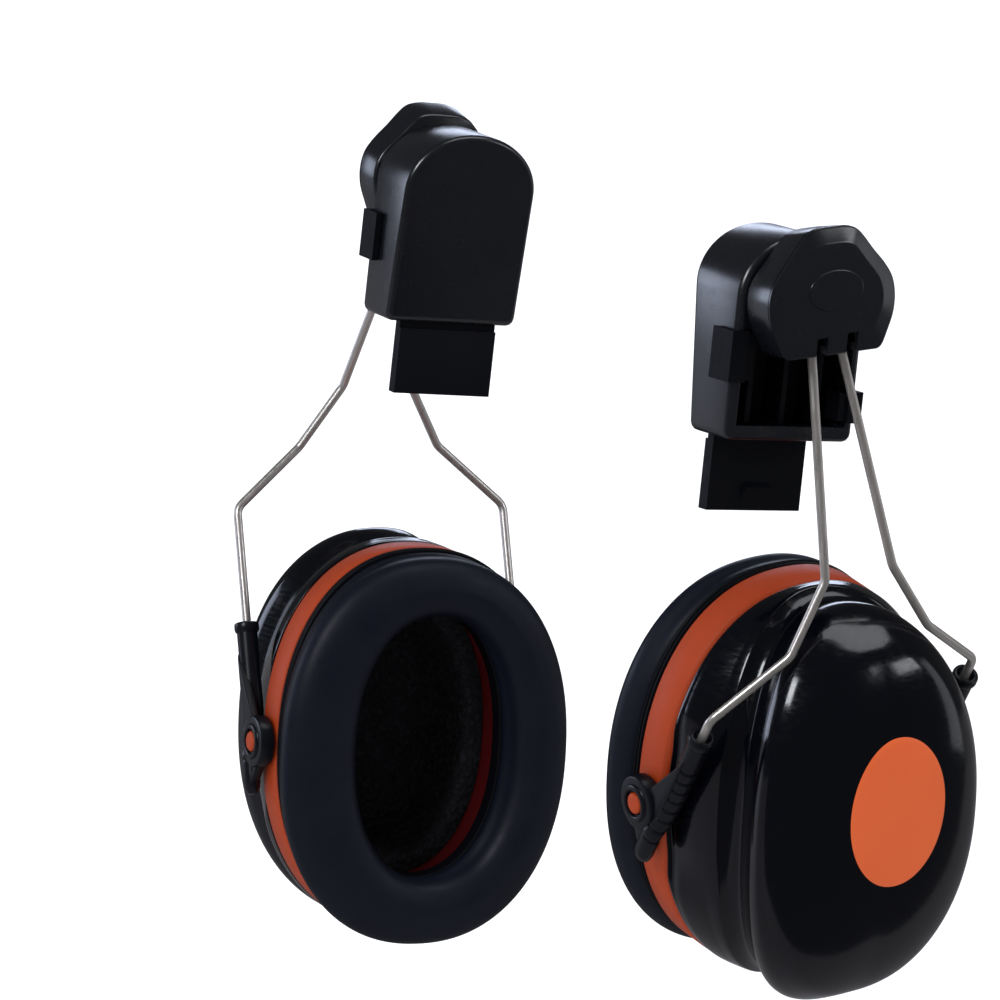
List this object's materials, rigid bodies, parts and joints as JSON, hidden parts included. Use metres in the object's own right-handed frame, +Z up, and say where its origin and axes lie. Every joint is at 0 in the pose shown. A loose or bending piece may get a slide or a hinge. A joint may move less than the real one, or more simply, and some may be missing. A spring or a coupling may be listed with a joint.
{
  "type": "earmuff hearing protector",
  "caption": "Helmet-mounted ear defender pair: swivel brackets, sprung wire yokes, sliding arms and deep cups with ring cushions.",
  "frame": {"origin": "middle of the line between the two swivel centres, inside the helmet that carries the pair", "axes": "+X to the wearer's left, +Y to the wearer's back, +Z up"},
  "size_m": [0.3005, 0.1186, 0.2456],
  "materials": {
    "black_satin_plastic": "satin moulded, near black",
    "black_insert_plastic": "matt moulded, near black",
    "black_gloss_shell": "high gloss, blue-black",
    "orange_plastic": "satin orange, moulded through",
    "grey_plastic": "plain grey, hidden",
    "stainless_wire": "drawn stainless wire",
    "zinc_steel": "zinc plated",
    "cushion_skin": "soft satin PVC skin over foam, blue-black",
    "dark_foam": "open-cell foam, dark"
  },
  "bodies": {
    "brackets": {"left_bracket_housing": "black_satin_plastic", "left_helmet_adapter": "black_insert_plastic", "left_swivel_screw": "zinc_steel", "left_swivel_nut": "zinc_steel", "left_friction_washer": "zinc_steel", "right_bracket_housing": "black_satin_plastic", "right_helmet_adapter": "black_insert_plastic", "right_swivel_screw": "zinc_steel", "right_swivel_nut": "zinc_steel", "right_friction_washer": "zinc_steel"},
    "left_head": {"left_head_housing": "black_satin_plastic", "left_head_cover": "black_satin_plastic", "left_swing_spring": "zinc_steel"},
    "left_yoke": {"left_rocker": "grey_plastic", "left_wire_yoke": "stainless_wire"},
    "left_stirrup": {"left_front_arm": "black_satin_plastic", "left_rear_arm": "black_satin_plastic"},
    "left_cup": {"left_outer_shell": "black_gloss_shell", "left_inner_cup": "orange_plastic", "left_foam_liner": "dark_foam", "left_cushion_plate": "black_insert_plastic", "left_ear_cushion": "cushion_skin"},
    "right_head": {"right_head_housing": "black_satin_plastic", "right_head_cover": "black_satin_plastic", "right_swing_spring": "zinc_steel"},
    "right_yoke": {"right_rocker": "grey_plastic", "right_wire_yoke": "stainless_wire"},
    "right_stirrup": {"right_front_arm": "black_satin_plastic", "right_rear_arm": "black_satin_plastic"},
    "right_cup": {"right_outer_shell": "black_gloss_shell", "right_inner_cup": "orange_plastic", "right_foam_liner": "dark_foam", "right_cushion_plate": "black_insert_plastic", "right_ear_cushion": "cushion_skin"}
  },
  "joints": [
    {"name": "left_swivel", "type": "hinge", "parent": "brackets", "child": "left_head", "pos_m": [0.1206, 0, 0], "axis": [0.9976, 0.0694, 0], "range_deg": [-39.53, 55.47]},
    {"name": "left_swing", "type": "hinge", "parent": "left_head", "child": "left_yoke", "pos_m": [0.1142, -0.00021, -0.00299], "axis": [-0.0692, 0.9945, 0.079], "range_deg": [-23.45, 3.55]},
    {"name": "left_height_slide", "type": "slide", "parent": "left_yoke", "child": "left_stirrup", "axis": [-0.6226, 0.0188, -0.7823], "range_m": [-0.00065, 0.02785]},
    {"name": "left_cup_tilt", "type": "hinge", "parent": "left_stirrup", "child": "left_cup", "pos_m": [0.07977, 0.0081, -0.1378], "axis": [-0.0692, 0.9945, 0.079], "range_deg": [-15.9, 2.6]},
    {"name": "right_swivel", "type": "hinge", "parent": "brackets", "child": "right_head", "pos_m": [-0.1206, 0, 0], "axis": [0.9976, -0.0694, 0], "range_deg": [-30.81, 64.19]},
    {"name": "right_swing", "type": "hinge", "parent": "right_head", "child": "right_yoke", "pos_m": [-0.11423, -0.00066, -0.00299], "axis": [-0.0692, -0.9949, 0.0731], "range_deg": [-7.12, 19.88]},
    {"name": "right_height_slide", "type": "slide", "parent": "right_yoke", "child": "right_stirrup", "axis": [0.3685, -0.0936, -0.9249], "range_m": [-0.0222, 0.0003]},
    {"name": "right_cup_tilt", "type": "hinge", "parent": "right_stirrup", "child": "right_cup", "pos_m": [-0.11038, -0.013, -0.16737], "axis": [-0.0692, -0.9949, 0.0731], "range_deg": [-26, 1]}
  ]
}
